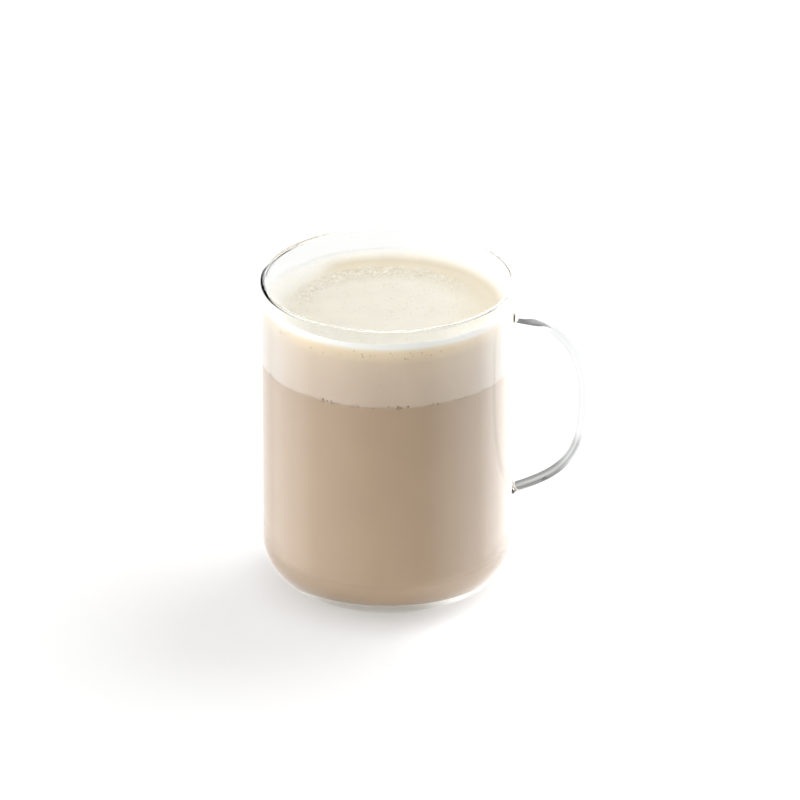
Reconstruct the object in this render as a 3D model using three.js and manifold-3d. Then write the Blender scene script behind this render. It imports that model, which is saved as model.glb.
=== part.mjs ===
// Masala chai under a deep milk foam, in the clear glass mug that it is served in.
// Millimetres, +Z up. The origin is the centre of the base, and the handle points along +X.

import * as THREE from 'three';
import { mergeVertices } from 'three/addons/utils/BufferGeometryUtils.js';
import Module from 'manifold-3d';

// Glass vessel
const MUG_HEIGHT = 103;
const MUG_RADIUS = 40;
const WALL = 1.6;
const BASE_THICKNESS = 5.5;
const OUTER_CORNER = 16;
const INNER_CORNER = 14;

// Glass handle, a bent rod. Depths are measured down from the rim, the reach out from the mug's axis
const ROD_RADIUS = 1.75;
const UPPER_JOINT_DEPTH = 10.2;
const LOWER_JOINT_DEPTH = 69.1;
const UPPER_JOINT_ANGLE = THREE.MathUtils.degToRad(0);
const LOWER_JOINT_ANGLE = THREE.MathUtils.degToRad(22);
const HANDLE_REACH = 62.3;
const WIDEST_DEPTH = 36;
// How far each end of the two bends runs on towards its tangent
const UPPER_ARM_PULL = 15.2;
const SHOULDER_PULL = 16.8;
const BELLY_PULL = 20.5;
const LOWER_ARM_PULL = 18;

// Fused foot where the rod spreads into the wall
const FOOT_RADIUS = 2.8;
const FOOT_TIP_RADIUS = 1.55;
const FOOT_LENGTH = 4;
const FOOT_SUNK = 0.9;

// Drink. Depths are measured down from the rim
const CLEARANCE = 0.3;
const FOAM_LEVEL_DEPTH = 9.2;
const FOAM_LIP_DEPTH = 5.5;
const FOAM_LIP_WIDTH = 4.2;
const FOAM_LIP_EDGE = 0.5;
const FOAM_UNDERSIDE_DEPTH = 26.5;

// Fineness of the round forms
const TURN_STEPS = 72;
const CORNER_STEPS = 8;
const RIM_STEPS = 6;
const LIP_STEPS = 6;
const ROD_SIDES = 16;
const ROD_STEPS = 44;
const FOOT_STEPS = 5;
const FOOT_SIDES = 24;

const wasm = await Module();
wasm.setup();

const point = (radius, height) => new THREE.Vector2(radius, height);

// Points of an arc in the half plane of a turned profile, both ends included
function arc(centreRadius, centreHeight, size, fromDegrees, toDegrees, steps) {
  const points = [];
  for (let step = 0; step <= steps; step += 1) {
    const degrees = THREE.MathUtils.lerp(fromDegrees, toDegrees, step / steps);
    const angle = THREE.MathUtils.degToRad(degrees);
    points.push(point(centreRadius + size * Math.cos(angle), centreHeight + size * Math.sin(angle)));
  }
  return points;
}

// A solid turned about the Z axis from a profile that starts and ends on that axis
function turned(profile, steps) {
  const geometry = new THREE.LatheGeometry(profile, steps);
  geometry.rotateX(Math.PI / 2);
  return geometry;
}

function toSolid(geometry) {
  const bare = geometry.clone();
  bare.deleteAttribute('normal');
  bare.deleteAttribute('uv');
  const merged = mergeVertices(bare, 1e-4);
  const vertProperties = new Float32Array(merged.attributes.position.array);
  const triVerts = new Uint32Array(merged.index.array);
  return new wasm.Manifold(new wasm.Mesh({ numProp: 3, vertProperties, triVerts }));
}

function toGeometry(solid) {
  const mesh = solid.getMesh();
  const geometry = new THREE.BufferGeometry();
  geometry.setAttribute('position', new THREE.BufferAttribute(mesh.vertProperties, 3));
  geometry.setIndex(new THREE.BufferAttribute(mesh.triVerts, 1));
  return geometry;
}

// Straight-sided vessel with a flat base, a rounded heel and a rounded rim
function vesselGeometry() {
  const innerRadius = MUG_RADIUS - WALL;
  const rimCentre = MUG_RADIUS - WALL / 2;
  const profile = [
    point(0, 0),
    ...arc(MUG_RADIUS - OUTER_CORNER, OUTER_CORNER, OUTER_CORNER, -90, 0, CORNER_STEPS),
    ...arc(rimCentre, MUG_HEIGHT - WALL / 2, WALL / 2, 0, 180, RIM_STEPS),
    ...arc(innerRadius - INNER_CORNER, BASE_THICKNESS + INNER_CORNER, INNER_CORNER, 0, -90, CORNER_STEPS),
    point(0, BASE_THICKNESS),
  ];
  return turned(profile, TURN_STEPS);
}

// Centre line of the bent rod: a level upper arm, a tight shoulder and a round lower sweep
function handlePath() {
  const startRadius = MUG_RADIUS - FOOT_SUNK / 2;
  const upperHeight = MUG_HEIGHT - UPPER_JOINT_DEPTH;
  const widestHeight = MUG_HEIGHT - WIDEST_DEPTH;
  const lowerHeight = MUG_HEIGHT - LOWER_JOINT_DEPTH;
  const along = (radius, height) => new THREE.Vector3(radius, 0, height);
  const path = new THREE.CurvePath();
  path.add(new THREE.CubicBezierCurve3(
    along(startRadius, upperHeight),
    along(
      startRadius + UPPER_ARM_PULL * Math.cos(UPPER_JOINT_ANGLE),
      upperHeight + UPPER_ARM_PULL * Math.sin(UPPER_JOINT_ANGLE),
    ),
    along(HANDLE_REACH, widestHeight + SHOULDER_PULL),
    along(HANDLE_REACH, widestHeight),
  ));
  path.add(new THREE.CubicBezierCurve3(
    along(HANDLE_REACH, widestHeight),
    along(HANDLE_REACH, widestHeight - BELLY_PULL),
    along(
      startRadius + LOWER_ARM_PULL * Math.cos(LOWER_JOINT_ANGLE),
      lowerHeight + LOWER_ARM_PULL * Math.sin(LOWER_JOINT_ANGLE),
    ),
    along(startRadius, lowerHeight),
  ));
  return path;
}

// A round section is divided into twice as many sides as curveSegments says
function rodGeometry() {
  const section = new THREE.Shape();
  section.absarc(0, 0, ROD_RADIUS, 0, 2 * Math.PI, false);
  return new THREE.ExtrudeGeometry(section, {
    steps: ROD_STEPS,
    curveSegments: ROD_SIDES / 2,
    extrudePath: handlePath(),
    bevelEnabled: false,
  });
}

// A trumpet-shaped foot that stands on the wall and leans along the end of the rod
function footGeometry(depth, angle) {
  const profile = [point(0, 0)];
  for (let step = 0; step <= FOOT_STEPS; step += 1) {
    const part = step / FOOT_STEPS;
    const spread = (FOOT_RADIUS - FOOT_TIP_RADIUS) * (1 - part) ** 2;
    profile.push(point(FOOT_TIP_RADIUS + spread, part * FOOT_LENGTH));
  }
  profile.push(point(0, FOOT_LENGTH));
  const geometry = turned(profile, FOOT_SIDES);
  geometry.rotateY(Math.PI / 2);
  geometry.applyMatrix4(new THREE.Matrix4().makeShear(0, Math.tan(angle), 0, 0, 0, 0));
  geometry.translate(MUG_RADIUS - FOOT_SUNK, 0, MUG_HEIGHT - depth);
  return geometry;
}

// The vessel and its handle are one piece of glass
function mugGeometry() {
  const pieces = [
    rodGeometry(),
    footGeometry(UPPER_JOINT_DEPTH, UPPER_JOINT_ANGLE),
    footGeometry(LOWER_JOINT_DEPTH, LOWER_JOINT_ANGLE),
  ];
  let solid = toSolid(vesselGeometry());
  for (const glass of pieces) {
    solid = solid.add(toSolid(glass));
  }
  return toGeometry(solid);
}

// Chai fills the vessel from its floor to the underside of the foam
function chaiGeometry() {
  const radius = MUG_RADIUS - WALL - CLEARANCE;
  const floor = BASE_THICKNESS + CLEARANCE;
  const corner = INNER_CORNER - CLEARANCE;
  const top = MUG_HEIGHT - FOAM_UNDERSIDE_DEPTH - CLEARANCE;
  const profile = [
    point(0, floor),
    ...arc(radius - corner, floor + corner, corner, -90, 0, CORNER_STEPS),
    point(radius, top),
    point(0, top),
  ];
  return turned(profile, TURN_STEPS);
}

// Foam is a thick disc whose edge climbs the wall in a thin lip
function foamGeometry() {
  const radius = MUG_RADIUS - WALL - CLEARANCE;
  const underside = MUG_HEIGHT - FOAM_UNDERSIDE_DEPTH;
  const level = MUG_HEIGHT - FOAM_LEVEL_DEPTH;
  const climb = FOAM_LEVEL_DEPTH - FOAM_LIP_DEPTH;
  const profile = [point(0, underside), point(radius, underside), point(radius, level + climb)];
  for (let step = 0; step <= LIP_STEPS; step += 1) {
    const part = step / LIP_STEPS;
    const height = level + climb * (1 - part) ** 2;
    profile.push(point(radius - FOAM_LIP_EDGE - part * FOAM_LIP_WIDTH, height));
  }
  profile.push(point(0, level));
  return turned(profile, TURN_STEPS);
}

function piece(name, geometry, look) {
  const mesh = new THREE.Mesh(geometry, new THREE.MeshStandardMaterial(look));
  mesh.name = name;
  return mesh;
}

const group = new THREE.Group();
group.add(
  piece('mug', mugGeometry(), {
    color: 0xf4f8f7,
    roughness: 0.03,
    metalness: 0,
    transparent: true,
    opacity: 0.25,
  }),
  piece('chai', chaiGeometry(), { color: 0xb0957a, roughness: 0.25, metalness: 0 }),
  piece('foam', foamGeometry(), { color: 0xeee5d5, roughness: 0.6, metalness: 0 }),
);

export default group;
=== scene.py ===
import math

import bpy
import numpy as np
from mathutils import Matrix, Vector, kdtree


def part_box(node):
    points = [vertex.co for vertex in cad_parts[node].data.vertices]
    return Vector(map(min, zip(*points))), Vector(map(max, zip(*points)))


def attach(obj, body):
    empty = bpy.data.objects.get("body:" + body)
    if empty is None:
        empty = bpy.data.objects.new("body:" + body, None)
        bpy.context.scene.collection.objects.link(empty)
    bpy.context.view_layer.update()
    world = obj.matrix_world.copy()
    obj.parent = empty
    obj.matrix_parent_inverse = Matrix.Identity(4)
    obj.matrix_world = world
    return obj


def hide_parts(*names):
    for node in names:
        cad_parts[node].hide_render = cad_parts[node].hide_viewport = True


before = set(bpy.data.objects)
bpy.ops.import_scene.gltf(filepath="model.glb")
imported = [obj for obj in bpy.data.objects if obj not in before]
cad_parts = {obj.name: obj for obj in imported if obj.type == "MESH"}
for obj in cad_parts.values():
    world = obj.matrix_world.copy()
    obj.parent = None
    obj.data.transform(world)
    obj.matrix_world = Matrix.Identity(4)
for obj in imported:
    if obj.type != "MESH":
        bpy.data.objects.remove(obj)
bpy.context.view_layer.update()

# Masala chai under milk foam in a clear glass mug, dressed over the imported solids. Metres, +Z up.

MM = 0.001
mug_low, mug_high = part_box("mug")
chai_low, chai_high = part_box("chai")
foam_low, foam_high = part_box("foam")

# Glass vessel, from the solids
MUG_RADIUS = -mug_low.x
RIM_HEIGHT = mug_high.z
SOLID_GAP = foam_low.z - chai_high.z
INNER_RADIUS = foam_high.x + SOLID_GAP
WALL = MUG_RADIUS - INNER_RADIUS
BASE_THICKNESS = chai_low.z - SOLID_GAP
OUTER_CORNER = 16 * MM
INNER_CORNER = 14 * MM

# Glass handle, a bent rod. Depths are measured down from the rim, the reach out from the mug's axis
ROD_RADIUS = 1.75 * MM
HANDLE_REACH = mug_high.x - ROD_RADIUS
UPPER_JOINT_DEPTH = 10.2 * MM
LOWER_JOINT_DEPTH = 69.1 * MM
LOWER_JOINT_ANGLE = math.radians(22)
WIDEST_DEPTH = 36 * MM
UPPER_ARM_PULL = 15.2 * MM
SHOULDER_PULL = 16.8 * MM
BELLY_PULL = 20.5 * MM
LOWER_ARM_PULL = 18 * MM
JOINT_FILLET = 0.5 * MM
JOINT_SUNK = 0.6 * MM

# Drink. It reaches a little way into the wall, so that no air shows between them
WALL_OVERLAP = 0.12 * MM
DRINK_RADIUS = INNER_RADIUS + WALL_OVERLAP
BOUNDARY_RISE = 0.3 * MM
BOUNDARY = (chai_high.z + foam_low.z) / 2 + BOUNDARY_RISE
BOUNDARY_WAVE = 0.16 * MM
BOUNDARY_WAVES = 24
WAVE_REACH = 4 * MM
FOAM_LEVEL_DEPTH = 9.6 * MM
FOAM_LEVEL = RIM_HEIGHT - FOAM_LEVEL_DEPTH
FOAM_DISH = 0.4 * MM
FOAM_SWELL = 0.1 * MM
SWELL_LENGTHS = (5 * MM, 6.3 * MM)
SWELL_FADE = 0.1
FLAT_RADIUS = 32 * MM

# Edge of the foam, which climbs the wall, and further at the front
EDGE_RADIUS = 38.1 * MM
EDGE_RISE = 2.6 * MM
EDGE_CURVE = 2.2
LIP_RISE = 0.3 * MM
LIP_DIP = 0.05 * MM
EDGE_TOP = FOAM_LEVEL + EDGE_RISE + LIP_RISE
FRONT_CLIMB = 2.2 * MM
FRONT_START = -0.2
FRONT_END = 0.6
EDGE_WAVE = 0.25 * MM
EDGE_WAVES = 16

# Bubbles: how many, and their smallest and largest radius
PITS = (300, 0.35 * MM, 0.7 * MM)
DOMES = (2200, 0.18 * MM, 0.44 * MM)
WALL_BUBBLES = (140, 0.12 * MM, 0.32 * MM)
BOUNDARY_BUBBLES = (220, 0.15 * MM, 0.4 * MM)

# Shares of a bubble's radius
PIT_DEPTH = 0.3
DOME_SUNK = 0.55
WALL_FLATNESS = 0.3

# Most bubbles on the foam lie along a ring, and reach out to a share of its flat part
RING_RADIUS = 28 * MM
RING_WIDTH = 4 * MM
RING_FADE = 1.5
LEAST_CHANCE = 0.025
BUBBLE_REACH = 0.97

# Bubbles at the wall: the middle and the spread of their depth, and of their groups
WALL_BUBBLE_DEPTH = 2.2 * MM
WALL_BUBBLE_SPREAD = 0.8 * MM
BOUNDARY_BUBBLE_DEPTH = 0.1 * MM
BOUNDARY_BUBBLE_SPREAD = 0.3 * MM
BOUNDARY_CLUSTERS = 26
CLUSTER_SPREAD = 0.05

# Fineness
TURN_STEPS = 192
CORNER_STEPS = 24
BASE_STEPS = 6
OUTER_WALL_STEPS = 44
INNER_WALL_STEPS = 24
RIM_STEPS = 14
ROD_STEPS = 120
ROD_SIDES = 32
CHAI_STEPS = 20
CHAI_TOP_RING = 0.6
FOAM_GRID = 230
FOAM_STEPS = 14
BALL_TURNS = 8
BALL_RINGS = 5
RIM_STRIP_STEPS = 40
RIM_FLAG_STEPS = 60
RANDOM_SEED = 7
SHARP_ANGLE = math.radians(60)

# How much glass and chai bend light
GLASS_IOR = 1.47
CHAI_IOR = 1.34

# Back right of the rim, where mirrored light passes: soft edges to the back, and in depth
CLEAR_RIM_BACK = (-4 * MM, 12 * MM)
CLEAR_RIM_DEPTHS = (4 * MM, 2 * MM)

# Slow ripples of the glass
RIPPLE_LENGTH = 14 * MM
RIPPLE_DEPTH = 0.012 * MM

# Colours
GLASS_TINT = (0.945, 0.955, 0.95)
THIN_GLASS_TINT = (0.95, 0.96, 0.955)
BASE_MIRROR_TINT = (0.92, 0.9, 0.86)
CREAM = (0.695, 0.658, 0.56)
# Tan inside the foam's edge: partly thinner foam, partly painted shade on the edge as it rises to the wall
TAN_AND_SHADE = (0.67, 0.595, 0.455)
# Where the foam climbs the wall: white, partly the froth's own colour and partly painted light from behind,
# and a darker copy for the left, painted shade
EDGE_WHITE_LIT = (0.965, 0.94, 0.89)
EDGE_PALE_SHADED = (0.87, 0.85, 0.81)
# Painted reflection: the foam's side is paler where it faces the camera's left and right
SIDE_REFLECTION_PALE = (0.62, 0.6, 0.57)
SIDE_REFLECTION_SHARE = 0.4
SCATTER_REACHES = (1, 0.92, 0.8)

# Darkest and lightest colours of the bubbles
DOME_COLOURS = ((0.7, 0.64, 0.52), (0.82, 0.775, 0.68))
WALL_BUBBLE_COLOURS = ((0.35, 0.25, 0.16), (0.56, 0.44, 0.3))
BOUNDARY_BUBBLE_COLOURS = ((0.23, 0.155, 0.1), (0.34, 0.24, 0.16))

# Colours at heights above the table
CHAI_STOPS = [
    (0, (0.459, 0.326, 0.218)),
    (BOUNDARY - 4 * MM, (0.451, 0.319, 0.211)),
    (BOUNDARY - 1 * MM, (0.443, 0.313, 0.205)),
    (BOUNDARY, (0.474, 0.347, 0.238)),
]
FOAM_SIDE_STOPS = [
    (BOUNDARY, (0.597, 0.467, 0.357)),
    (BOUNDARY + 1.2 * MM, (0.607, 0.487, 0.379)),
    (BOUNDARY + 8 * MM, (0.643, 0.518, 0.406)),
    (FOAM_LEVEL - 2 * MM, (0.694, 0.566, 0.428)),
    # Painted shade: an ochre band under the white upper edge, whose white is partly painted light
    (FOAM_LEVEL + 1.6 * MM, (0.847, 0.704, 0.505)),
    (EDGE_TOP - 0.4 * MM, (0.877, 0.78, 0.622)),
    (EDGE_TOP + 0.7 * MM, EDGE_WHITE_LIT),
    (EDGE_TOP + FRONT_CLIMB + EDGE_WAVE, EDGE_WHITE_LIT),
]

# Radii between which the foam turns tan, partly thinner foam and partly painted shade, and white. The white
# starts further out where the tan is
TAN_SHADE_BAND = (19 * MM, 31.5 * MM)
WHITE_STARTS = (30 * MM, 34 * MM)
WHITE_END = 38.3 * MM

# View, read from the photograph
VIEW_AZIMUTH = math.radians(10)
VIEW_ELEVATION = math.radians(25.2)
VIEW_DISTANCE = 3.0
SENSOR_WIDTH = 36
FRAME_WIDTH = 252 * MM
AIM_RIGHT = 3.78 * MM
AIM_UP = 8.66 * MM

# Directions as the camera sees them
RIGHT = Vector((math.cos(VIEW_AZIMUTH), math.sin(VIEW_AZIMUTH), 0))
BACK = Vector((-math.sin(VIEW_AZIMUTH), math.cos(VIEW_AZIMUTH), 0))
UP = Vector((0, 0, 1))
FRONT_WAY = np.array((-BACK - 0.3 * RIGHT).normalized())[:2]
# Side of the foam that gets the tan band of painted shade and the whiter edge of painted light
TAN_SHADE_WAY = (0.616 * RIGHT + 0.788 * BACK).normalized()
BUBBLE_WAY = BACK - 0.35 * RIGHT
CLEAR_RIM_WAY = 0.5 * RIGHT + 0.87 * BACK

# Light. Directions are degrees of azimuth, from the camera's side towards the right, and of elevation
AMBIENT_LIGHT = 0.05
# Each soft box: azimuth, elevation, half angle of its even core and of its soft edge, light
SOFT_BOXES = [
    (180, 75, 20, 45, 1.25),
    (-55, 22, 25, 60, 1.9),
    (110, 18, 25, 55, 1.08),
]
KEY_DIRECTION = (132, 52)
KEY_LIGHT = 0.8
KEY_SPREAD = 30
# What mirrors in the glass: an even table, bright on the left and right, and two boxes above it
MIRRORED_TABLE = 0.8
MIRRORED_GLOWS = [
    (-101, -25, 0, 85, 1.3),
    (-101, -25, 0, 30, 1.1),
    (118, -25, 0, 80, 3.15),
    (118, -25, 0, 26, 1.2),
]
MIRRORED_BOXES = [
    (0, 80, 8, 32, 10),
    (150, 0, 30, 50, 3),
]
# Through the glass, the surroundings look white, but darker at the back left and on the camera's side
DARK_SIDES = [
    (-145, 10, 30, 50, 1),
    (0, 30, 60, 95, 0.85),
]
HORIZON_SOFTNESS = 0.02

# Floor
FLOOR_REACH = 500 * MM
FLOOR_DROP = 0.05 * MM
FLOOR_TONE = 0.93
FLOOR_TONE_CHANGE = 0.01
FLOOR_SEEN_TONE = 0.66
FLOOR_GLOW = 0.24
# Painted light: where it is seen, the floor glows brighter to the right of the mug
FLOOR_RIGHT_GLOW = 0.25
FLOOR_RIGHT_REACH = 30 * MM
# Painted light: the floor glows under the mug, for the light that the thick base gathers there, out to a soft
# edge
UNDER_GLOW = 0.15
UNDER_REACH = (20 * MM, 28 * MM)
# The floor close to the mug mirrors in its heel, out to a soft edge, and is brighter at both sides
NEAR_FLOOR = (45 * MM, 75 * MM)
NEAR_LEFT_GLOW = 0.45
NEAR_LEFT_REACH = (-12 * MM, -38 * MM)
NEAR_RIGHT_GLOW = 1.9
NEAR_RIGHT_REACH = (4 * MM, 44 * MM)

# White cards that mirror in the right and back of the rim: ends to the right, to the back and in height
RIM_CARDS = [
    ((4, 100), (80, 80), (100, 150)),
    ((-12, 55), (-5, 85), (124, 130)),
]
RIM_CARD_LIGHT = 8

# A white strip inside the back right of the rim, for its mirrors: its ends in degrees from the right, the
# depths of its edges, its distance from the wall and its light
RIM_STRIP = (-8, 80, 0.6 * MM, 7 * MM, 0.3 * MM, 1.2)

# A thin dark card inside the left of the rim: its ends in degrees from the right, its width and depth
RIM_FLAG = (128, 230, 0.45 * MM, 1.0 * MM)

# Grey ribbons a little way behind the handle, which only show through its glass. Each has its own span
# of the handle's length. Offsets across a ribbon are in millimetres, and a tone of 1 is white
RIBBON_DISTANCE = 6 * MM
UPPER_SPAN = (0.025, 0.165)
MIDDLE_SPAN = (0.165, 0.6)
LOWER_SPAN = (0.6, 0.99)
MIDDLE_OFFSET = 7
MIDDLE_TONE = 1.03
# Upper ribbon, along its length: offsets of its edges, and tones at its low edge, inside and at its high edge
UPPER_PARTS = [0, 0.2, 0.45, 0.71, 1]
UPPER_LOW = [0.2, 0, -1.6, -1.2, -0.5]
UPPER_HIGH = [7, 6, 2.4, 0.7, 0.1]
UPPER_INSIDE = 0.6
UPPER_LOW_TONES = [0.22, 0.24, 0.6, 0.72, 0.93]
UPPER_INSIDE_TONES = [0.06, 0.08, 0.36, 0.5, 0.9]
UPPER_HIGH_TONES = [0, 0, 0, 0.2, 0.85]
# Lower ribbon, across its width: tones where the arm bends up, and along the arm
LOWER_OFFSETS = [-7, -3, -1.2, -0.4, 0, 0.4, 0.75, 1.2, 2.5, 7]
LOWER_BEND_TONES = [1, 0.75, 0.6, 0.85, 0.6, 0.52, 0.68, 0.82, 0.95, 1]
LOWER_ARM_TONES = [0.28, 0.31, 0.4, 0.62, 0.57, 0.45, 0.32, 0.26, 0.24, 0.3]
LOWER_PARTS = [0.03, 0.15, 0.34, 0.54]
# A dark streak on the upper side of the lower arm: its place along the ribbon, its length and its strength
STREAK_PART = 0.705
STREAK_LENGTH = 0.032
STREAK_OFFSET = 0.5
STREAK_STRENGTH = 0.6


def towards(azimuth, elevation):
    """Unit vector from the mug in that direction."""
    turn = math.radians(azimuth)
    rise = math.radians(elevation)
    level = math.sin(turn) * RIGHT - math.cos(turn) * BACK
    return math.cos(rise) * level + math.sin(rise) * UP


def sideways_and_back(degrees):
    """Level unit vector at an angle from the camera's right towards its back."""
    turn = math.radians(degrees)
    return math.cos(turn) * RIGHT + math.sin(turn) * BACK


# Mesh helpers

def mesh_object(name, vertices, faces):
    mesh = bpy.data.meshes.new(name)
    mesh.from_pydata([tuple(v) for v in vertices], [], faces)
    mesh.shade_smooth()
    mesh.set_sharp_from_angle(angle=SHARP_ANGLE)
    piece = bpy.data.objects.new(name, mesh)
    bpy.context.scene.collection.objects.link(piece)
    return piece


def arc(centre_radius, centre_height, size, start, end, steps):
    """Points of an arc in the half plane of a turned profile, angles in degrees."""
    angles = np.radians(np.linspace(start, end, steps + 1))
    return [(centre_radius + size * math.cos(a), centre_height + size * math.sin(a)) for a in angles]


def straight(radius, start, end, steps):
    """Points of an upright wall between two heights, without its ends."""
    return [(radius, start + (end - start) * k / steps) for k in range(1, steps)]


def turned_mesh(profile, steps, bend=None):
    """Vertices and faces of a solid turned about Z. The profile's first and last points lie on the axis."""
    angles = 2 * math.pi * np.arange(steps) / steps
    vertices = [(0, 0, profile[0][1])]
    for radius, height in profile[1:-1]:
        for angle in angles:
            shift = bend(angle, height) if bend else 0
            vertices.append((radius * math.cos(angle), radius * math.sin(angle), height + shift))
    vertices.append((0, 0, profile[-1][1]))
    rings = len(profile) - 2
    top = len(vertices) - 1
    faces = []
    for j in range(steps):
        k = (j + 1) % steps
        faces.append((0, 1 + k, 1 + j))
        for i in range(rings - 1):
            low = 1 + i * steps
            high = low + steps
            faces.append((low + j, low + k, high + k, high + j))
        last = 1 + (rings - 1) * steps
        faces.append((top, last + j, last + k))
    return vertices, faces


def strip_faces(steps):
    """Faces of a strip of pairs of points."""
    return [(2 * k, 2 * k + 1, 2 * k + 3, 2 * k + 2) for k in range(steps)]


def bezier(points, part):
    """Place and direction at a part of a curve with four control points."""
    a, b, c, d = [np.array(p) for p in points]
    rest = 1 - part
    place = rest ** 3 * a + 3 * rest ** 2 * part * b + 3 * rest * part ** 2 * c + part ** 3 * d
    slope = rest ** 2 * (b - a) + 2 * rest * part * (c - b) + part ** 2 * (d - c)
    return place, slope / np.linalg.norm(slope)


def add_piece(piece, node=None):
    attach(piece, "root")
    if node:
        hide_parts(node)


# Material helpers

def new_material(name):
    """A new material, its node tree and its shader."""
    material = bpy.data.materials.new(name)
    material.use_nodes = True
    tree = material.node_tree
    return material, tree, tree.nodes["Principled BSDF"]


def object_place(tree):
    """The place on the object."""
    return tree.nodes.new("ShaderNodeTexCoord").outputs["Object"]


def combined(tree, operation, first, second):
    """Two numbers put together."""
    node = tree.nodes.new("ShaderNodeMath")
    node.operation = operation
    tree.links.new(first, node.inputs[0])
    tree.links.new(second, node.inputs[1])
    return node.outputs[0]


def constant(tree, number):
    value = tree.nodes.new("ShaderNodeValue")
    value.outputs[0].default_value = number
    return value.outputs[0]


def vector_math(tree, operation, vector, other=None):
    node = tree.nodes.new("ShaderNodeVectorMath")
    node.operation = operation
    tree.links.new(vector, node.inputs[0])
    if other is not None:
        node.inputs[1].default_value = other
    return node.outputs["Value"] if operation in ("LENGTH", "DOT_PRODUCT") else node.outputs["Vector"]


def map_range(tree, value, start, end, low=0, high=1):
    """Smooth change from low to high as a value goes from start to end. Start may be a socket."""
    change = tree.nodes.new("ShaderNodeMapRange")
    change.interpolation_type = "SMOOTHSTEP"
    change.inputs["From Max"].default_value = end
    change.inputs["To Min"].default_value = low
    change.inputs["To Max"].default_value = high
    if isinstance(start, bpy.types.NodeSocket):
        tree.links.new(start, change.inputs["From Min"])
    else:
        change.inputs["From Min"].default_value = start
    tree.links.new(value, change.inputs["Value"])
    return change.outputs["Result"]


def blended(tree, share, first, second):
    """A colour between two, each a colour or a socket."""
    mix = tree.nodes.new("ShaderNodeMix")
    mix.data_type = "RGBA"
    tree.links.new(share, mix.inputs["Factor"])
    for socket, colour in [(mix.inputs[6], first), (mix.inputs[7], second)]:
        if isinstance(colour, bpy.types.NodeSocket):
            tree.links.new(colour, socket)
        else:
            socket.default_value = (*colour, 1)
    return mix.outputs[2]


def noise_at(tree, place, size, detail=2):
    """A soft random number, in patches of about that size."""
    noise = tree.nodes.new("ShaderNodeTexNoise")
    noise.inputs["Scale"].default_value = 1 / size
    noise.inputs["Detail"].default_value = detail
    tree.links.new(place, noise.inputs["Vector"])
    return noise.outputs["Fac"]


def mottled(tree, place, colour, size, amount):
    """The colour made a little lighter and darker in soft patches of about that size."""
    change = tree.nodes.new("ShaderNodeMapRange")
    change.inputs["From Min"].default_value = 0.3
    change.inputs["From Max"].default_value = 0.7
    change.inputs["To Min"].default_value = 1 - amount
    change.inputs["To Max"].default_value = 1 + amount
    tree.links.new(noise_at(tree, place, size, 4), change.inputs["Value"])
    scale = tree.nodes.new("ShaderNodeVectorMath")
    scale.operation = "SCALE"
    tree.links.new(colour, scale.inputs[0])
    tree.links.new(change.outputs["Result"], scale.inputs["Scale"])
    return scale.outputs["Vector"]


def colour_by_height(tree, place, stops):
    """A colour that changes with height above the table: stops are (height, colour)."""
    split = tree.nodes.new("ShaderNodeSeparateXYZ")
    tree.links.new(place, split.inputs[0])
    low = stops[0][0]
    high = stops[-1][0]
    scale = tree.nodes.new("ShaderNodeMapRange")
    scale.inputs["From Min"].default_value = low
    scale.inputs["From Max"].default_value = high
    tree.links.new(split.outputs["Z"], scale.inputs["Value"])
    ramp = tree.nodes.new("ShaderNodeValToRGB")
    elements = ramp.color_ramp.elements
    while len(elements) < len(stops):
        elements.new(0.5)
    for element, (height, colour) in zip(elements, stops):
        element.position = (height - low) / (high - low)
        element.color = (*colour, 1)
    tree.links.new(scale.outputs["Result"], ramp.inputs["Fac"])
    return ramp.outputs["Color"]


def bumped(tree, height, depth, shader):
    """Small relief on a surface, that deep."""
    bump = tree.nodes.new("ShaderNodeBump")
    bump.inputs["Strength"].default_value = 1
    bump.inputs["Distance"].default_value = depth
    tree.links.new(height, bump.inputs["Height"])
    tree.links.new(bump.outputs["Normal"], shader.inputs["Normal"])


def froth(tree, place, size, depth, shader):
    """Relief of cells of about that size."""
    cells = tree.nodes.new("ShaderNodeTexVoronoi")
    cells.inputs["Scale"].default_value = 1 / size
    tree.links.new(place, cells.inputs["Vector"])
    bumped(tree, cells.outputs["Distance"], depth, shader)


def mixed_surface(tree, output, share, first, second):
    """The surface goes from one shader to the other as the share goes from 0 to 1."""
    mix = tree.nodes.new("ShaderNodeMixShader")
    tree.links.new(share, mix.inputs[0])
    tree.links.new(first.outputs[0], mix.inputs[1])
    tree.links.new(second.outputs[0], mix.inputs[2])
    tree.links.new(mix.outputs[0], tree.nodes[output].inputs["Surface"])


def glow_material(name, light):
    """Even white light, or black where the light is 0."""
    material, tree, _ = new_material(name)
    glow = tree.nodes.new("ShaderNodeEmission")
    glow.inputs["Strength"].default_value = light
    tree.links.new(glow.outputs[0], tree.nodes["Material Output"].inputs["Surface"])
    return material


def scattering(shader, weight, reach):
    shader.inputs["Subsurface Weight"].default_value = weight
    shader.inputs["Subsurface Radius"].default_value = SCATTER_REACHES
    shader.inputs["Subsurface Scale"].default_value = reach


# Glass mug

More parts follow.
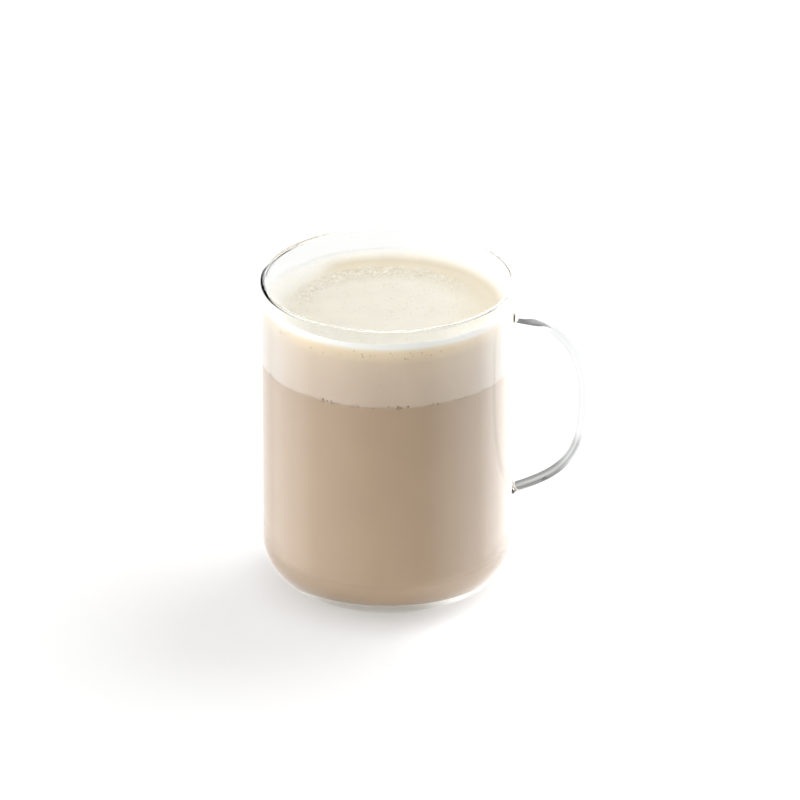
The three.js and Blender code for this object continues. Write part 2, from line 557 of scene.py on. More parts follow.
def glass_material():
    material, tree, shader = new_material("clear_glass")
    shader.inputs["Base Color"].default_value = (*GLASS_TINT, 1)
    shader.inputs["Roughness"].default_value = 0
    shader.inputs["IOR"].default_value = GLASS_IOR
    shader.inputs["Transmission Weight"].default_value = 1
    place = object_place(tree)
    bumped(tree, noise_at(tree, place, RIPPLE_LENGTH, 1), RIPPLE_DEPTH, shader)
    # Lamps and soft light pass the glass without bending, as through a thin wall
    path = tree.nodes.new("ShaderNodeLightPath").outputs
    soft = combined(tree, "MAXIMUM", path["Is Shadow Ray"], path["Is Diffuse Ray"])
    # So does what mirrors in it, where that comes from outside, in the base, or at the back right of the rim
    bounced = combined(tree, "SUBTRACT", path["Is Glossy Ray"], path["Is Transmission Ray"])
    side = tree.nodes.new("ShaderNodeNewGeometry")
    outside = map_range(tree, side.outputs["Backfacing"], 0, 1, 1, 0)
    outside = combined(tree, "MAXIMUM", outside, path["Transparent Depth"])
    height = vector_math(tree, "DOT_PRODUCT", place, UP)
    in_base = map_range(tree, height, OUTER_CORNER, OUTER_CORNER / 2)
    behind = vector_math(tree, "DOT_PRODUCT", place, CLEAR_RIM_WAY)
    at_back = map_range(tree, behind, *CLEAR_RIM_BACK)
    low, high = CLEAR_RIM_DEPTHS
    at_rim = map_range(tree, height, RIM_HEIGHT - low, RIM_HEIGHT - high)
    back_rim = combined(tree, "MULTIPLY", at_back, at_rim)
    clear_place = combined(tree, "MAXIMUM", combined(tree, "MAXIMUM", outside, in_base), back_rim)
    mirrored = combined(tree, "MULTIPLY", bounced, clear_place)
    passing = map_range(tree, combined(tree, "MAXIMUM", soft, mirrored), 0, 1)
    clear = tree.nodes.new("ShaderNodeBsdfTransparent")
    clear.inputs["Color"].default_value = (*THIN_GLASS_TINT, 1)
    mixed_surface(tree, "Material Output", passing, shader, clear)
    return material


def vessel_mesh():
    base_radius = MUG_RADIUS - OUTER_CORNER
    rim_centre = MUG_RADIUS - WALL / 2
    rim_foot = RIM_HEIGHT - WALL / 2
    inner_foot = BASE_THICKNESS + INNER_CORNER
    profile = [Vector((base_radius * k / BASE_STEPS, 0)) for k in range(BASE_STEPS)]
    profile += arc(base_radius, OUTER_CORNER, OUTER_CORNER, -90, 0, CORNER_STEPS)
    profile += straight(MUG_RADIUS, OUTER_CORNER, rim_foot, OUTER_WALL_STEPS)
    profile += arc(rim_centre, rim_foot, WALL / 2, 0, 180, RIM_STEPS)
    profile += straight(INNER_RADIUS, rim_foot, inner_foot, INNER_WALL_STEPS)
    profile += arc(INNER_RADIUS - INNER_CORNER, inner_foot, INNER_CORNER, 0, -90, CORNER_STEPS)
    profile += [(0, BASE_THICKNESS)]
    return turned_mesh(profile, TURN_STEPS)


def handle_line():
    """Points and directions along the rod's centre line, from the upper joint to the lower one."""
    start = MUG_RADIUS - JOINT_SUNK
    upper = RIM_HEIGHT - UPPER_JOINT_DEPTH
    widest = RIM_HEIGHT - WIDEST_DEPTH
    lower = RIM_HEIGHT - LOWER_JOINT_DEPTH
    lower_pull = (
        start + LOWER_ARM_PULL * math.cos(LOWER_JOINT_ANGLE),
        lower + LOWER_ARM_PULL * math.sin(LOWER_JOINT_ANGLE),
    )
    bends = [
        [
            (start, upper),
            (start + UPPER_ARM_PULL, upper),
            (HANDLE_REACH, widest + SHOULDER_PULL),
            (HANDLE_REACH, widest),
        ],
        [
            (HANDLE_REACH, widest),
            (HANDLE_REACH, widest - BELLY_PULL),
            lower_pull,
            (start, lower),
        ],
    ]
    line = []
    for number, bend in enumerate(bends):
        for k in range(1 if number else 0, ROD_STEPS + 1):
            line.append(bezier(bend, k / ROD_STEPS))
    return line


def rod_mesh():
    line = handle_line()
    vertices = []
    faces = []
    for place, slope in line:
        from_wall = place[0] - MUG_RADIUS
        radius = ROD_RADIUS
        if from_wall < JOINT_FILLET:
            part = 1 - max(from_wall, 0) / JOINT_FILLET
            radius += JOINT_FILLET * (1 - math.sqrt(1 - part ** 2))
        for k in range(ROD_SIDES):
            angle = 2 * math.pi * k / ROD_SIDES
            out = radius * math.cos(angle)
            vertices.append((
                place[0] - slope[1] * out,
                radius * math.sin(angle),
                place[1] + slope[0] * out,
            ))
    last = (len(line) - 1) * ROD_SIDES
    for low in range(0, last, ROD_SIDES):
        high = low + ROD_SIDES
        for j in range(ROD_SIDES):
            k = (j + 1) % ROD_SIDES
            faces.append((low + k, low + j, high + j, high + k))
    faces.append(tuple(range(ROD_SIDES)))
    faces.append(tuple(last + j for j in reversed(range(ROD_SIDES))))
    return vertices, faces


def make_mug():
    vessel = mesh_object("mug_glass", *vessel_mesh())
    rod = mesh_object("rod", *rod_mesh())
    union = vessel.modifiers.new("handle", "BOOLEAN")
    union.operation = "UNION"
    union.solver = "MANIFOLD"
    union.object = rod
    bpy.context.view_layer.update()
    evaluated = vessel.evaluated_get(bpy.context.evaluated_depsgraph_get())
    joined = bpy.data.meshes.new_from_object(evaluated)
    vessel.modifiers.clear()
    vessel.data = joined
    bpy.data.objects.remove(rod)
    vessel.data.materials.clear()
    vessel.data.materials.append(glass_material())
    add_piece(vessel, "mug")


# Chai

def chai_material():
    material, tree, shader = new_material("milky_chai")
    place = object_place(tree)
    colour = colour_by_height(tree, place, CHAI_STOPS)
    colour = mottled(tree, place, colour, 18 * MM, 0.03)
    tree.links.new(colour, shader.inputs["Base Color"])
    shader.inputs["Roughness"].default_value = 0.4
    shader.inputs["Specular IOR Level"].default_value = 0.05
    # Seen through the thick base at a low angle, the glass mirrors in front of the chai
    fresnel = tree.nodes.new("ShaderNodeFresnel")
    fresnel.inputs["IOR"].default_value = CHAI_IOR / GLASS_IOR
    mirror = tree.nodes.new("ShaderNodeBsdfGlossy")
    mirror.inputs["Color"].default_value = (*BASE_MIRROR_TINT, 1)
    mirror.inputs["Roughness"].default_value = 0
    mixed_surface(tree, "Material Output", fresnel.outputs[0], shader, mirror)
    return material


def waves(angle, seed, count):
    """A smooth random line round the mug, between about -1 and 1."""
    draw = np.random.default_rng(seed)
    total = 0 * angle
    for k in range(2, 2 + count):
        total = total + draw.normal() / math.sqrt(k) * np.cos(k * angle + draw.uniform(0, 2 * math.pi))
    return total / 2


def make_chai():
    floor = BASE_THICKNESS - WALL_OVERLAP
    corner = INNER_CORNER + WALL_OVERLAP
    profile = [(0, floor)]
    profile += arc(DRINK_RADIUS - corner, floor + corner, corner, -90, 0, CORNER_STEPS)
    profile += straight(DRINK_RADIUS, floor + corner, BOUNDARY, CHAI_STEPS)
    profile += [(DRINK_RADIUS, BOUNDARY), (DRINK_RADIUS * CHAI_TOP_RING, BOUNDARY), (0, BOUNDARY)]

    def bend(angle, height):
        near = max(0, 1 - (BOUNDARY - height) / WAVE_REACH)
        return near * BOUNDARY_WAVE * float(waves(np.array(angle), RANDOM_SEED, BOUNDARY_WAVES))

    chai = mesh_object("chai_body", *turned_mesh(profile, TURN_STEPS, bend))
    chai.data.materials.append(chai_material())
    add_piece(chai, "chai")


# Foam

def foam_top_material():
    """Cream, with a tan band inside the edge at the back and right, partly thinner foam and partly painted
    shade, and white where it climbs the wall, partly painted light: whiter at the back and right, darker on
    the left.
    """
    material, tree, shader = new_material("foam_top")
    place = object_place(tree)
    flat = vector_math(tree, "MULTIPLY", place, (1, 1, 0))
    radius = vector_math(tree, "LENGTH", flat)
    way = vector_math(tree, "NORMALIZE", flat)
    facing = vector_math(tree, "DOT_PRODUCT", way, TAN_SHADE_WAY)
    # Painted shade and light: the back right gets the tan band and the whiter edge
    tan_shade_side = map_range(tree, facing, 0, 0.55)
    tan_shade_share = combined(tree, "MULTIPLY", tan_shade_side, map_range(tree, radius, *TAN_SHADE_BAND))
    white_start = map_range(tree, tan_shade_side, 0, 1, *WHITE_STARTS)
    white_share = map_range(tree, radius, white_start, WHITE_END)
    colour = blended(tree, tan_shade_share, CREAM, TAN_AND_SHADE)
    # Lit and shaded copies of the edge: painted light at the back right, painted shade on the left
    white = blended(tree, tan_shade_side, EDGE_PALE_SHADED, EDGE_WHITE_LIT)
    colour = blended(tree, white_share, colour, white)
    colour = mottled(tree, place, colour, 7 * MM, 0.02)
    tree.links.new(colour, shader.inputs["Base Color"])
    shader.inputs["Roughness"].default_value = 0.6
    shader.inputs["Specular IOR Level"].default_value = 0.02
    scattering(shader, 0.6, 3 * MM)
    froth(tree, place, 0.7 * MM, 0.1 * MM, shader)
    return material


def foam_side_material():
    """Tan where the foam meets the chai, an ochre band of painted shade under its white upper edge, which is
    partly painted light, and paler to the left and right with painted reflection.
    """
    material, tree, shader = new_material("foam_side")
    place = object_place(tree)
    colour = colour_by_height(tree, place, FOAM_SIDE_STOPS)
    # Painted reflection: paler where the side faces the camera's left and right
    flat = vector_math(tree, "MULTIPLY", place, (1, 1, 0))
    way = vector_math(tree, "NORMALIZE", flat)
    sideways = vector_math(tree, "DOT_PRODUCT", way, RIGHT)
    sideways = combined(tree, "MULTIPLY", sideways, sideways)
    reflection_share = map_range(tree, sideways, 0.36, 0.9, 0, SIDE_REFLECTION_SHARE)
    colour = blended(tree, reflection_share, colour, SIDE_REFLECTION_PALE)
    colour = mottled(tree, place, colour, 9 * MM, 0.025)
    tree.links.new(colour, shader.inputs["Base Color"])
    shader.inputs["Roughness"].default_value = 0.6
    shader.inputs["Specular IOR Level"].default_value = 0.05
    scattering(shader, 0.6, 1.5 * MM)
    froth(tree, place, 0.6 * MM, 0.04 * MM, shader)
    return material


def disc_grid(radius, cells):
    """A square grid folded onto a disc: its points, its quads, and its edge in order of angle."""
    side = np.linspace(-1, 1, cells + 1)
    u, v = np.meshgrid(side, side)
    wide = np.abs(u) >= np.abs(v)
    reach = np.where(wide, u, v)
    safe = np.where(reach == 0, 1, reach)
    turn = np.where(wide, math.pi / 4 * v / safe, math.pi / 2 - math.pi / 4 * u / safe)
    points = np.stack([reach * np.cos(turn), reach * np.sin(turn)], -1).reshape(-1, 2) * radius
    number = np.arange((cells + 1) ** 2).reshape(cells + 1, cells + 1)
    quads = np.stack([number[:-1, :-1], number[:-1, 1:], number[1:, 1:], number[1:, :-1]], -1)
    edge = np.concatenate([number[:-1, -1], number[-1, :0:-1], number[:0:-1, 0], number[0, :-1]])
    return points, quads.reshape(-1, 4), edge


def foam_chance(x, y):
    """How likely a bubble is at a place on the foam: most along the ring at the back left."""
    radius = math.hypot(x, y)
    behind = Vector((x, y, 0)).dot(BUBBLE_WAY) / max(radius, MM)
    ring = math.exp(-((radius - RING_RADIUS) / RING_WIDTH) ** 2)
    return LEAST_CHANCE + (1 - LEAST_CHANCE) * ring * min(1, max(0, behind)) ** RING_FADE


def bubble_size(smallest, largest, draw):
    """A random size: small ones are more common."""
    return smallest + (largest - smallest) * draw.random() ** 2


def bubble_places(count, smallest, largest, draw):
    """Seeded places and sizes of bubbles on the foam."""
    places = []
    while len(places) < count:
        radius = BUBBLE_REACH * FLAT_RADIUS * math.sqrt(draw.random())
        angle = draw.uniform(0, 2 * math.pi)
        x = radius * math.cos(angle)
        y = radius * math.sin(angle)
        if draw.random() < foam_chance(x, y):
            places.append((x, y, bubble_size(smallest, largest, draw)))
    return places


def foam_height(x, y):
    """Height of the smooth foam: a shallow dish whose edge climbs the wall."""
    radius = np.hypot(x, y)
    dish = FOAM_DISH * (1 - np.minimum(radius / FLAT_RADIUS, 1) ** 2)
    climb = np.clip((radius - FLAT_RADIUS) / (EDGE_RADIUS - FLAT_RADIUS), 0, 1)
    slow = FOAM_SWELL * (np.sin(x / SWELL_LENGTHS[0]) + np.sin(y / SWELL_LENGTHS[1] + 1))
    fade = np.clip((1 - radius / FLAT_RADIUS) / SWELL_FADE, 0, 1)
    return FOAM_LEVEL - dish + EDGE_RISE * climb ** EDGE_CURVE + slow * fade


def foam_pits(points):
    """Depth of small burst bubbles below the smooth foam, at each point."""
    draw = np.random.default_rng(RANDOM_SEED + 1)
    tree = kdtree.KDTree(len(points))
    for number, (x, y) in enumerate(points):
        tree.insert((x, y, 0), number)
    tree.balance()
    depth = np.zeros(len(points))
    for x, y, size in bubble_places(*PITS, draw):
        for _, number, distance in tree.find_range((x, y, 0), size):
            depth[number] = PIT_DEPTH * size * (1 - (distance / size) ** 2)
    return depth


def foam_rings(angle, around):
    """Rings up the edge, then down the wall: each a radius, its heights, and 1 where it is the side."""
    front = np.clip((around @ FRONT_WAY - FRONT_START) / (FRONT_END - FRONT_START), 0, 1)
    front = front ** 2 * (3 - 2 * front)
    crest = EDGE_TOP + FRONT_CLIMB * front + EDGE_WAVE * waves(angle, RANDOM_SEED + 2, EDGE_WAVES)
    bottom = BOUNDARY + BOUNDARY_WAVE * waves(angle, RANDOM_SEED, BOUNDARY_WAVES)
    rings = []
    for part in np.linspace(0, 1, FOAM_STEPS + 1)[1:]:
        radius = FLAT_RADIUS + (EDGE_RADIUS - FLAT_RADIUS) * part
        level = foam_height(around[:, 0] * radius, around[:, 1] * radius)
        rings.append((radius, level + (crest - EDGE_TOP) * part ** 2, 0))
    rings.append(((EDGE_RADIUS + DRINK_RADIUS) / 2, crest - LIP_DIP, 0))
    rings.append((DRINK_RADIUS, crest, 0))
    for part in np.linspace(0, 1, FOAM_STEPS + 1)[1:]:
        rings.append((DRINK_RADIUS, crest * (1 - part) + bottom * part, 1))
    return rings


def make_foam():
    points, quads, edge = disc_grid(FLAT_RADIUS, FOAM_GRID)
    height = foam_height(points[:, 0], points[:, 1]) - foam_pits(points)
    vertices = [np.column_stack([points, height])]
    faces = [tuple(q) for q in quads.tolist()]
    sides = [0] * len(faces)

    angle = np.arctan2(points[edge, 1], points[edge, 0])
    around = np.column_stack([np.cos(angle), np.sin(angle)])
    before = edge.tolist()
    total = len(points)
    count = len(before)
    for radius, level, side in foam_rings(angle, around):
        vertices.append(np.column_stack([around * radius, level]))
        after = list(range(total, total + count))
        total += count
        for j in range(count):
            k = (j + 1) % count
            faces.append((before[j], after[j], after[k], before[k]))
            sides.append(side)
        before = after
    vertices.append(np.array([[0, 0, BOUNDARY]]))
    for j in range(count):
        faces.append((before[j], total, before[(j + 1) % count]))
        sides.append(1)

    foam = mesh_object("foam_head", np.concatenate(vertices), faces)
    foam.data.materials.append(foam_top_material())
    foam.data.materials.append(foam_side_material())
    foam.data.polygons.foreach_set("material_index", sides)
    add_piece(foam, "foam")


# Bubbles

def bubble_material(name, colours, size, roughness):
    """Colours between two, in patches of about that size."""
    material, tree, shader = new_material(name)
    share = map_range(tree, noise_at(tree, object_place(tree), size), 0.35, 0.65)
    tree.links.new(blended(tree, share, *colours), shader.inputs["Base Color"])
    shader.inputs["Roughness"].default_value = roughness
    shader.inputs["Specular IOR Level"].default_value = 0.1
    return material


def ball():
    """Vertices and faces of a unit ball about its middle, as arrays for many copies."""
    vertices = [(0, 0, -1)]
    for i in range(1, BALL_RINGS):
        tilt = -math.pi / 2 + math.pi * i / BALL_RINGS
        for j in range(BALL_TURNS):
            turn = 2 * math.pi * j / BALL_TURNS
            level = math.cos(tilt)
            vertices.append((level * math.cos(turn), level * math.sin(turn), math.sin(tilt)))
    vertices.append((0, 0, 1))
    top = len(vertices) - 1
    faces = []
    for j in range(BALL_TURNS):
        k = (j + 1) % BALL_TURNS
        faces.append((0, 1 + k, 1 + j))
        faces.append((top, top - BALL_TURNS + j, top - BALL_TURNS + k))
        for i in range(BALL_RINGS - 2):
            low = 1 + i * BALL_TURNS
            high = low + BALL_TURNS
            faces.append((low + j, low + k, high + k))
            faces.append((low + j, high + k, high + j))
    return np.array(vertices), np.array(faces)


def scattered_mesh(name, places, material):
    """One mesh of many small balls. Each place is a middle and the three half axes of a ball there."""
    unit, unit_faces = ball()
    vertices = []
    faces = []
    for number, (middle, axes) in enumerate(places):
        vertices.append(np.array(middle) + unit @ np.array(axes))
        faces.append(unit_faces + number * len(unit))
    piece = mesh_object(name, np.concatenate(vertices), np.concatenate(faces).tolist())
    piece.data.materials.append(material)
    add_piece(piece)


def make_foam_bubbles():
    """Whole bubbles that stand a little way out of the foam."""
    draw = np.random.default_rng(RANDOM_SEED + 3)
    places = []
    for x, y, size in bubble_places(*DOMES, draw):
        height = float(foam_height(np.array(x), np.array(y))) - DOME_SUNK * size
        places.append(((x, y, height), size * np.eye(3)))
    scattered_mesh("foam_bubbles", places, bubble_material("foam_bubble", DOME_COLOURS, 2 * MM, 0.25))


def wall_place(angle, height, size):
    """A flat round bubble that is pressed against the wall."""
    out = np.array((math.cos(angle), math.sin(angle), 0))
    along = np.array((-math.sin(angle), math.cos(angle), 0))
    up = np.array((0, 0, 1))
    middle = DRINK_RADIUS * out + height * up
    return middle, np.array([size * along, size * up, WALL_FLATNESS * size * out])


def make_wall_bubbles():
    """Small bubbles against the wall, in a loose row under the foam's upper edge."""
    draw = np.random.default_rng(RANDOM_SEED + 4)
    places = []
    count, smallest, largest = WALL_BUBBLES
    for _ in range(count):
        size = bubble_size(smallest, largest, draw)
        height = EDGE_TOP - WALL_BUBBLE_DEPTH + draw.normal() * WALL_BUBBLE_SPREAD
        places.append(wall_place(draw.uniform(0, 2 * math.pi), height, size))
    material = bubble_material("wall_bubble", WALL_BUBBLE_COLOURS, 1.5 * MM, 0.5)
    scattered_mesh("wall_bubbles", places, material)


def make_boundary_bubbles():
    """Dark bubbles against the wall, in small groups where the foam meets the chai."""
    draw = np.random.default_rng(RANDOM_SEED + 5)
    places = []
    count, smallest, largest = BOUNDARY_BUBBLES
    turns = np.arange(BOUNDARY_CLUSTERS) + draw.random(BOUNDARY_CLUSTERS)
    clusters = 2 * math.pi * turns / BOUNDARY_CLUSTERS
    for _ in range(count):
        size = bubble_size(smallest, largest, draw)
        angle = draw.choice(clusters) + draw.normal() * CLUSTER_SPREAD
        height = BOUNDARY - BOUNDARY_BUBBLE_DEPTH + draw.normal() * BOUNDARY_BUBBLE_SPREAD
        places.append(wall_place(angle, height, size))
    material = bubble_material("boundary_bubble", BOUNDARY_BUBBLE_COLOURS, 1.5 * MM, 0.5)
    scattered_mesh("boundary_bubbles", places, material)


# Stage

def only_mirrors(card):
    """The card is a part of the stage that shows in mirrors and nowhere else."""
    card.visible_camera = False
    card.visible_diffuse = False
    card.visible_transmission = False
    card.visible_shadow = False


def only_through_glass(card):
    """The card is a part of the stage that shows through glass and nowhere else."""
    card.visible_camera = False
    card.visible_diffuse = False
    card.visible_glossy = False
    card.visible_shadow = False


def floor_material():
    """A pale table. Where it is seen, a glow of its own softens the mug's shadow, with painted light that
    brightens it to the right of the mug. Under the mug it glows for every ray, painted light for what the
    thick base gathers.
    """
    material, tree, shader = new_material("pale_floor")
    place = object_place(tree)
    noise = noise_at(tree, place, 1 / 4)
    tone = map_range(tree, noise, 0, 1, FLOOR_TONE - FLOOR_TONE_CHANGE, FLOOR_TONE + FLOOR_TONE_CHANGE)
    path = tree.nodes.new("ShaderNodeLightPath").outputs
    seen = combined(tree, "MAXIMUM", path["Is Camera Ray"], path["Is Transmission Ray"])
    share = map_range(tree, seen, 0, 1, 1, FLOOR_SEEN_TONE / FLOOR_TONE)
    tree.links.new(combined(tree, "MULTIPLY", tone, share), shader.inputs["Base Color"])
    shader.inputs["Roughness"].default_value = 0.7
    shader.inputs["Specular IOR Level"].default_value = 0.1
    shader.inputs["Emission Color"].default_value = (1, 1, 1, 1)
    # Painted light: brighter to the right of the mug
    sideways = vector_math(tree, "DOT_PRODUCT", place, RIGHT)
    glow = map_range(tree, sideways, 0, FLOOR_RIGHT_REACH, FLOOR_GLOW, FLOOR_GLOW + FLOOR_RIGHT_GLOW)
    glow = combined(tree, "MULTIPLY", seen, glow)
    # Painted light: a glow under the mug, for every ray
    under = map_range(tree, vector_math(tree, "LENGTH", place), *UNDER_REACH, UNDER_GLOW, 0)
    tree.links.new(combined(tree, "ADD", glow, under), shader.inputs["Emission Strength"])
    return material


def make_floor():
    """A pale table top, set square to the camera, with the mug at its middle."""
    corners = []
    for side, depth in [(-1, -1), (1, -1), (1, 1), (-1, 1)]:
        corners.append(FLOOR_REACH * (side * RIGHT + depth * BACK) - FLOOR_DROP * UP)
    floor = mesh_object("floor", corners, [(0, 1, 2, 3)])
    floor.data.materials.append(floor_material())
    floor.visible_glossy = False


def make_near_floor():
    """The floor close to the mug, as its heel mirrors it."""
    start, end = NEAR_FLOOR
    turns = np.radians(range(0, 360, 5))
    rim = [(end * math.cos(turn), end * math.sin(turn), -FLOOR_DROP / 2) for turn in turns]
    disc = mesh_object("near_floor", rim, [tuple(range(len(rim)))])
    material, tree, shader = new_material("near_floor")
    shader.inputs["Base Color"].default_value = (FLOOR_SEEN_TONE, FLOOR_SEEN_TONE, FLOOR_SEEN_TONE, 1)
    shader.inputs["Emission Color"].default_value = (1, 1, 1, 1)
    place = object_place(tree)
    radius = vector_math(tree, "LENGTH", place)
    sideways = vector_math(tree, "DOT_PRODUCT", place, RIGHT)
    left = map_range(tree, sideways, *NEAR_LEFT_REACH, FLOOR_GLOW, FLOOR_GLOW + NEAR_LEFT_GLOW)
    right = map_range(tree, sideways, *NEAR_RIGHT_REACH, 0, NEAR_RIGHT_GLOW)
    tree.links.new(combined(tree, "ADD", left, right), shader.inputs["Emission Strength"])
    tree.links.new(map_range(tree, radius, start, end, 1, 0), shader.inputs["Alpha"])
    disc.data.materials.append(material)
    only_mirrors(disc)


def make_rim_cards():
    for sides, depths, heights in RIM_CARDS:
        corners = []
        for side, end in [(0, 0), (1, 0), (1, 1), (0, 1)]:
            corners.append(MM * (sides[side] * RIGHT + depths[end] * BACK + heights[end] * UP))
        card = mesh_object("rim_card", corners, [(0, 1, 2, 3)])
        card.data.materials.append(glow_material("rim_card", RIM_CARD_LIGHT))
        only_mirrors(card)


def make_rim_strip():
    """The back right of the rim mirrors this in place of the foam."""
    start, end, high, low, gap, light = RIM_STRIP
    vertices = []
    for k in range(RIM_STRIP_STEPS + 1):
        way = sideways_and_back(start + (end - start) * k / RIM_STRIP_STEPS)
        for depth in (low, high):
            vertices.append((INNER_RADIUS - gap) * way + (RIM_HEIGHT - depth) * UP)
    strip = mesh_object("rim_strip", vertices, strip_faces(RIM_STRIP_STEPS))
    strip.data.materials.append(glow_material("rim_strip", light))
    only_mirrors(strip)


def make_rim_flag():
    """A dark crescent that shows through the glass of the rim."""
    start, end, width, depth = RIM_FLAG
    middle = MUG_RADIUS - WALL / 2
    vertices = []
    for k in range(RIM_FLAG_STEPS + 1):
        way = sideways_and_back(start + (end - start) * k / RIM_FLAG_STEPS)
        half = width / 2 * math.sin(math.pi * k / RIM_FLAG_STEPS)
        for radius in (middle - half, middle + half):
            vertices.append(radius * way + (RIM_HEIGHT - depth) * UP)
    flag = mesh_object("rim_flag", vertices, strip_faces(RIM_FLAG_STEPS))
    flag.data.materials.append(glow_material("rim_flag", 0))
    only_through_glass(flag)


def ribbon_material():
    """The ribbon's own tones on its front. Its back is clear."""
    material, tree, _ = new_material("grey_card")
    tone = tree.nodes.new("ShaderNodeAttribute")
    tone.attribute_name = "tone"
    glow = tree.nodes.new("ShaderNodeEmission")
    tree.links.new(tone.outputs["Fac"], glow.inputs["Color"])
    side = tree.nodes.new("ShaderNodeNewGeometry")
    clear = tree.nodes.new("ShaderNodeBsdfTransparent")
    mixed_surface(tree, "Material Output", side.outputs["Backfacing"], glow, clear)
    return material


def upper_tones(part):
    """A dark wedge, lightest at its lower edge, that runs out to a thin pale end."""
    low = np.interp(part, UPPER_PARTS, UPPER_LOW)
    high = np.interp(part, UPPER_PARTS, UPPER_HIGH)
    return [
        (low, np.interp(part, UPPER_PARTS, UPPER_LOW_TONES)),
        (low + UPPER_INSIDE * (high - low), np.interp(part, UPPER_PARTS, UPPER_INSIDE_TONES)),
        (high, np.interp(part, UPPER_PARTS, UPPER_HIGH_TONES)),
    ]


def middle_tones(part):
    """A faint even tone."""
    return [(-MIDDLE_OFFSET, MIDDLE_TONE), (MIDDLE_OFFSET, MIDDLE_TONE)]


def lower_tones(part):
    """Light grey in the middle, darker towards both edges, and two thin lines where the arm bends up."""
    streak = math.exp(-((part - STREAK_PART) / STREAK_LENGTH) ** 2)
    row = []
    for offset, bend_tone, arm_tone in zip(LOWER_OFFSETS, LOWER_BEND_TONES, LOWER_ARM_TONES):
        tone = np.interp(part, LOWER_PARTS, [MIDDLE_TONE, bend_tone, bend_tone, arm_tone])
        if offset > STREAK_OFFSET:
            tone *= 1 - STREAK_STRENGTH * streak
        row.append((offset, tone))
    return row


def make_ribbon(name, span, tones):
    """A ribbon behind a span of the handle. Tones gives offsets across it and the tones there, for a part."""
    line = handle_line()
    behind = RIBBON_DISTANCE * (math.cos(VIEW_ELEVATION) * BACK - math.sin(VIEW_ELEVATION) * UP)
    first, last = [round(end * (len(line) - 1)) for end in span]
    # Offsets run upwards across the ribbon's end
    upwards = 1 if line[last][1][0] > 0 else -1
    vertices = []
    values = []
    for number in range(first, last + 1):
        place, slope = line[number]
        middle = Vector((place[0], 0, place[1])) + behind
        across = upwards * Vector((-slope[1], 0, slope[0]))
        row = tones((number - first) / (last - first))
        for offset, tone in row:
            vertices.append(middle + float(offset) * MM * across)
            values.append(float(tone))
    wide = len(row)
    faces = []
    for i in range(last - first):
        for j in range(wide - 1):
            corner = i * wide + j
            faces.append((corner, corner + 1, corner + wide + 1, corner + wide))
    # The front of the ribbon faces the front of the mug
    if (vertices[1] - vertices[0]).cross(vertices[wide] - vertices[0]).dot(BACK) > 0:
        faces = [face[::-1] for face in faces]
    ribbon = mesh_object(name, vertices, faces)
    attribute = ribbon.data.attributes.new("tone", "FLOAT", "POINT")
    attribute.data.foreach_set("value", values)
    ribbon.data.materials.append(ribbon_material())
    only_through_glass(ribbon)


# Light

def with_boxes(tree, place, level, boxes):
    """A light level with soft boxes added to it."""
    total = constant(tree, level)
    for azimuth, elevation, core, edge, light in boxes:
        nearness = vector_math(tree, "DOT_PRODUCT", place, towards(azimuth, elevation))
        start = math.cos(math.radians(edge))
        end = math.cos(math.radians(core))
        total = combined(tree, "ADD", total, map_range(tree, nearness, start, end, 0, light))
    return total


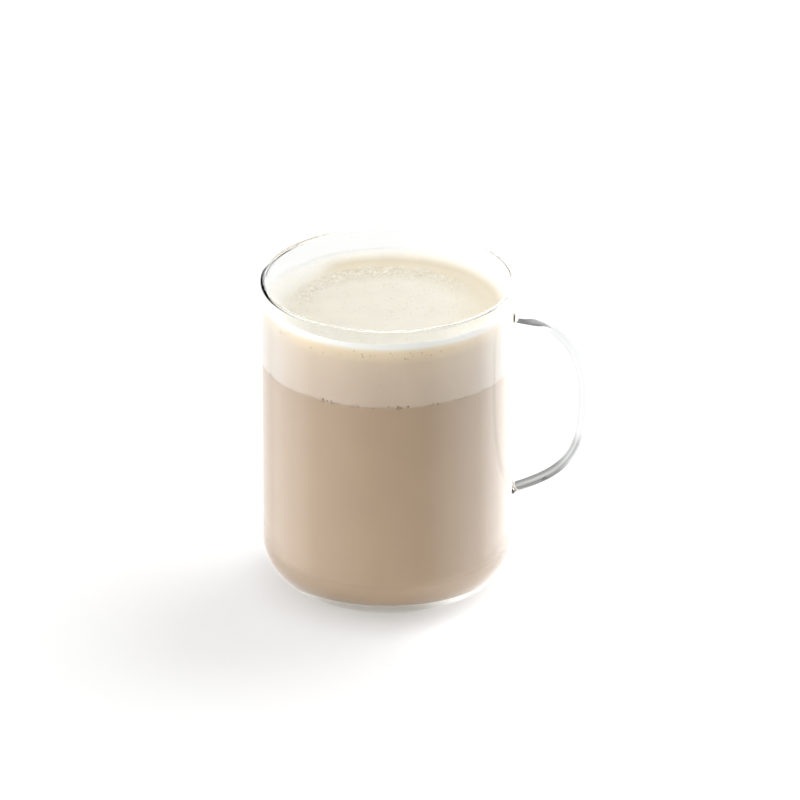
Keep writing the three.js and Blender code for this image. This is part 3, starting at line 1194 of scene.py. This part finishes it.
def make_world():
    """White to the camera, mostly white through glass, soft boxes as a light, and its own look in mirrors."""
    world = bpy.data.worlds.new("studio")
    bpy.context.scene.world = world
    world.use_nodes = True
    tree = world.node_tree
    place = tree.nodes.new("ShaderNodeTexCoord").outputs["Generated"]
    path = tree.nodes.new("ShaderNodeLightPath").outputs
    height = vector_math(tree, "DOT_PRODUCT", place, UP)
    above = map_range(tree, height, -HORIZON_SOFTNESS, HORIZON_SOFTNESS)
    below = map_range(tree, height, HORIZON_SOFTNESS, -HORIZON_SOFTNESS)

    light = with_boxes(tree, place, AMBIENT_LIGHT, SOFT_BOXES)
    light = combined(tree, "MULTIPLY", light, above)

    table = with_boxes(tree, place, MIRRORED_TABLE, MIRRORED_GLOWS)
    table = combined(tree, "MULTIPLY", table, below)
    overhead = with_boxes(tree, place, 0, MIRRORED_BOXES)
    overhead = combined(tree, "MULTIPLY", overhead, above)
    mirrored = combined(tree, "ADD", table, overhead)
    bounced = combined(tree, "SUBTRACT", path["Is Glossy Ray"], path["Is Transmission Ray"])
    bounced = map_range(tree, bounced, 0, 1)
    light = combined(tree, "ADD", light, combined(tree, "MULTIPLY", mirrored, bounced))

    dark = with_boxes(tree, place, 0, DARK_SIDES)
    dark = combined(tree, "MULTIPLY", dark, above)
    clear = combined(tree, "SUBTRACT", path["Is Transmission Ray"], dark)
    light = combined(tree, "ADD", light, map_range(tree, clear, 0, 1))

    lamp = tree.nodes["Background"]
    lamp.inputs["Color"].default_value = (1, 1, 1, 1)
    tree.links.new(light, lamp.inputs["Strength"])
    white = tree.nodes.new("ShaderNodeBackground")
    white.inputs["Color"].default_value = (1, 1, 1, 1)
    mixed_surface(tree, "World Output", path["Is Camera Ray"], lamp, white)


def make_key():
    """A soft lamp from the back right, which throws the shadow to the front left."""
    sun = bpy.data.lights.new("key", "SUN")
    sun.energy = KEY_LIGHT
    sun.angle = math.radians(KEY_SPREAD)
    lamp = bpy.data.objects.new("key", sun)
    lamp.rotation_mode = "QUATERNION"
    lamp.rotation_quaternion = towards(*KEY_DIRECTION).to_track_quat("Z", "Y")
    bpy.context.scene.collection.objects.link(lamp)


def make_camera():
    data = bpy.data.cameras.new("camera")
    data.sensor_width = SENSOR_WIDTH
    data.lens = SENSOR_WIDTH * VIEW_DISTANCE / FRAME_WIDTH
    data.clip_start = 0.1
    data.clip_end = 50
    camera = bpy.data.objects.new("camera", data)
    backward = math.sin(VIEW_ELEVATION) * UP - math.cos(VIEW_ELEVATION) * BACK
    camera_up = math.cos(VIEW_ELEVATION) * UP + math.sin(VIEW_ELEVATION) * BACK
    aim = UP * RIM_HEIGHT / 2 + RIGHT * AIM_RIGHT + camera_up * AIM_UP
    camera.location = aim + backward * VIEW_DISTANCE
    camera.rotation_mode = "QUATERNION"
    camera.rotation_quaternion = backward.to_track_quat("Z", "Y")
    bpy.context.scene.collection.objects.link(camera)
    bpy.context.scene.camera = camera


make_camera()
make_world()
make_key()
make_floor()
make_near_floor()
make_rim_cards()
make_rim_strip()
make_rim_flag()
make_ribbon("upper_ribbon", UPPER_SPAN, upper_tones)
make_ribbon("middle_ribbon", MIDDLE_SPAN, middle_tones)
make_ribbon("lower_ribbon", LOWER_SPAN, lower_tones)
make_mug()
make_chai()
make_foam()
make_foam_bubbles()
make_wall_bubbles()
make_boundary_bubbles()
bpy.context.scene.view_settings.view_transform = "Standard"
